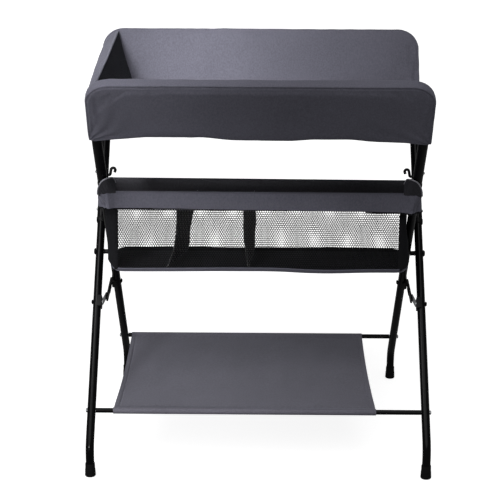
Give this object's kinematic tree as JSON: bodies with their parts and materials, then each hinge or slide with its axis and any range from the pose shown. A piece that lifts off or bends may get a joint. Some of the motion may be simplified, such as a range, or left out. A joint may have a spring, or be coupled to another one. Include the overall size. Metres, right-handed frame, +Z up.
{
  "type": "changing table",
  "caption": "Folding changing table with crossed tube legs, a fabric bed with padded walls open at one end, a divided mesh basket and a low fabric shelf.",
  "frame": {"origin": "on the floor at the centre of the table's bounding box", "axes": "+Z up, +X to the right seen from the front, the front faces -Y; the two frames cross on a line along X"},
  "size_m": [0.782, 0.7326, 0.9072],
  "materials": {
    "black_paint": "gloss black powder coat on steel tube",
    "zinc_steel": "bright zinc plate",
    "black_plastic": "fine textured moulded nylon",
    "black_rubber": "matt moulded rubber",
    "grey_fabric": "plain woven coated polyester, slate grey",
    "black_mesh": "open hexagonal net and black lining cloth"
  },
  "bodies": {
    "centre": {"bed_floor_front": "grey_fabric", "bed_floor_rear": "grey_fabric", "end_wall": "grey_fabric", "lower_shelf": "grey_fabric", "pivot_rivet_left": "black_paint", "pivot_rivet_right": "black_paint", "pivot_spacer_left": "black_plastic", "pivot_spacer_right": "black_plastic"},
    "outer_frame": {"basket_hook_left": "black_plastic", "basket_hook_right": "black_plastic", "front_lower_rail": "black_paint", "front_rail_bolt_left": "zinc_steel", "front_rail_bolt_right": "zinc_steel", "outer_foot_left": "black_rubber", "outer_foot_right": "black_rubber", "outer_leg_left": "black_paint", "outer_leg_right": "black_paint", "outer_sleeve_collar_left": "black_plastic", "outer_sleeve_collar_right": "black_plastic", "outer_stay_bolt_left": "black_paint", "outer_stay_bolt_right": "black_paint", "outer_stay_bracket_left": "black_plastic", "outer_stay_bracket_right": "black_plastic", "rear_bar_bolt_left": "zinc_steel", "rear_bar_bolt_right": "zinc_steel", "rear_basket_bar": "black_paint", "rear_bow": "black_paint", "rear_wall": "grey_fabric"},
    "inner_frame": {"front_bar_bolt_left": "zinc_steel", "front_bar_bolt_right": "zinc_steel", "front_basket_bar": "black_paint", "front_bow": "black_paint", "front_wall": "grey_fabric", "inner_foot_left": "black_rubber", "inner_foot_right": "black_rubber", "inner_leg_left": "black_paint", "inner_leg_right": "black_paint", "inner_sleeve_collar_left": "black_plastic", "inner_sleeve_collar_right": "black_plastic", "inner_stay_bolt_left": "black_paint", "inner_stay_bolt_right": "black_paint", "inner_stay_bracket_left": "black_plastic", "inner_stay_bracket_right": "black_plastic", "rear_lower_rail": "black_paint", "rear_rail_bolt_left": "zinc_steel", "rear_rail_bolt_right": "zinc_steel"},
    "basket": {"basket_bag": "black_mesh"},
    "front_rim": {"front_basket_rim": "grey_fabric"},
    "rear_rim": {"rear_basket_rim": "grey_fabric"},
    "silver_link_left": {"stay_silver_link_left": "zinc_steel"},
    "black_link_left": {"stay_black_link_left": "black_paint"},
    "latch_left": {"stay_latch_left": "black_plastic"},
    "outer_button_left": {"outer_snap_button_left": "zinc_steel"},
    "inner_button_left": {"inner_snap_button_left": "zinc_steel"},
    "silver_link_right": {"stay_silver_link_right": "zinc_steel"},
    "black_link_right": {"stay_black_link_right": "black_paint"},
    "latch_right": {"stay_latch_right": "black_plastic"},
    "outer_button_right": {"outer_snap_button_right": "zinc_steel"},
    "inner_button_right": {"inner_snap_button_right": "zinc_steel"}
  },
  "joints": [
    {"name": "outer_fold", "type": "hinge", "parent": "centre", "child": "outer_frame", "pos_m": [0, 0, 0.433], "axis": [1, 0, 0], "range_deg": [0, 35], "deforming": ["bed_floor_front", "bed_floor_rear", "end_wall", "lower_shelf", "basket_bag"]},
    {"name": "inner_fold", "type": "hinge", "parent": "centre", "child": "inner_frame", "pos_m": [0, 0, 0.433], "axis": [-1, 0, 0], "range_deg": [0, 35]},
    {"name": "basket_rise", "type": "slide", "parent": "centre", "child": "basket", "axis": [0, 0, 1], "range_m": [0, 0.0465]},
    {"name": "front_rim_turn", "type": "hinge", "parent": "inner_frame", "child": "front_rim", "pos_m": [0, -0.14523, 0.607], "axis": [1, 0, 0], "range_deg": [0, 35]},
    {"name": "rear_rim_turn", "type": "hinge", "parent": "outer_frame", "child": "rear_rim", "pos_m": [0, 0.11685, 0.573], "axis": [-1, 0, 0], "range_deg": [0, 35]},
    {"name": "silver_link_turn_left", "type": "hinge", "parent": "outer_frame", "child": "silver_link_left", "pos_m": [-0.3624, -0.0818, 0.335], "axis": [-1, 0, 0], "range_deg": [0, 110.5]},
    {"name": "black_link_turn_left", "type": "hinge", "parent": "inner_frame", "child": "black_link_left", "pos_m": [-0.3586, 0.0818, 0.335], "axis": [1, 0, 0], "range_deg": [0, 110.5]},
    {"name": "latch_slide_left", "type": "slide", "parent": "black_link_left", "child": "latch_left", "axis": [0, 0.9926, 0.1214], "range_m": [0, 0.008], "stiffness_N_per_m": 150},
    {"name": "silver_link_turn_right", "type": "hinge", "parent": "outer_frame", "child": "silver_link_right", "pos_m": [0.3624, -0.0818, 0.335], "axis": [-1, 0, 0], "range_deg": [0, 110.5]},
    {"name": "black_link_turn_right", "type": "hinge", "parent": "inner_frame", "child": "black_link_right", "pos_m": [0.3586, 0.0818, 0.335], "axis": [1, 0, 0], "range_deg": [0, 110.5]},
    {"name": "latch_slide_right", "type": "slide", "parent": "black_link_right", "child": "latch_right", "axis": [0, 0.9926, 0.1214], "range_m": [0, 0.008], "stiffness_N_per_m": 150},
    {"name": "outer_button_press_left", "type": "slide", "parent": "outer_frame", "child": "outer_button_left", "axis": [1, 0, 0], "range_m": [0, 0.0025], "stiffness_N_per_m": 600},
    {"name": "inner_button_press_left", "type": "slide", "parent": "inner_frame", "child": "inner_button_left", "axis": [1, 0, 0], "range_m": [0, 0.0025], "stiffness_N_per_m": 600},
    {"name": "outer_button_press_right", "type": "slide", "parent": "outer_frame", "child": "outer_button_right", "axis": [-1, 0, 0], "range_m": [0, 0.0025], "stiffness_N_per_m": 600},
    {"name": "inner_button_press_right", "type": "slide", "parent": "inner_frame", "child": "inner_button_right", "axis": [-1, 0, 0], "range_m": [0, 0.0025], "stiffness_N_per_m": 600}
  ],
  "couplings": [
    {"joint": "inner_fold", "follows": "outer_fold", "ratio": 1},
    {"joint": "basket_rise", "follows": "outer_fold", "m_per_rad": 0.0761},
    {"joint": "front_rim_turn", "follows": "outer_fold", "ratio": 1},
    {"joint": "rear_rim_turn", "follows": "outer_fold", "ratio": 1},
    {"joint": "silver_link_turn_left", "follows": "outer_fold", "ratio": 3.157},
    {"joint": "black_link_turn_left", "follows": "outer_fold", "ratio": 3.157},
    {"joint": "silver_link_turn_right", "follows": "outer_fold", "ratio": 3.157},
    {"joint": "black_link_turn_right", "follows": "outer_fold", "ratio": 3.157}
  ]
}
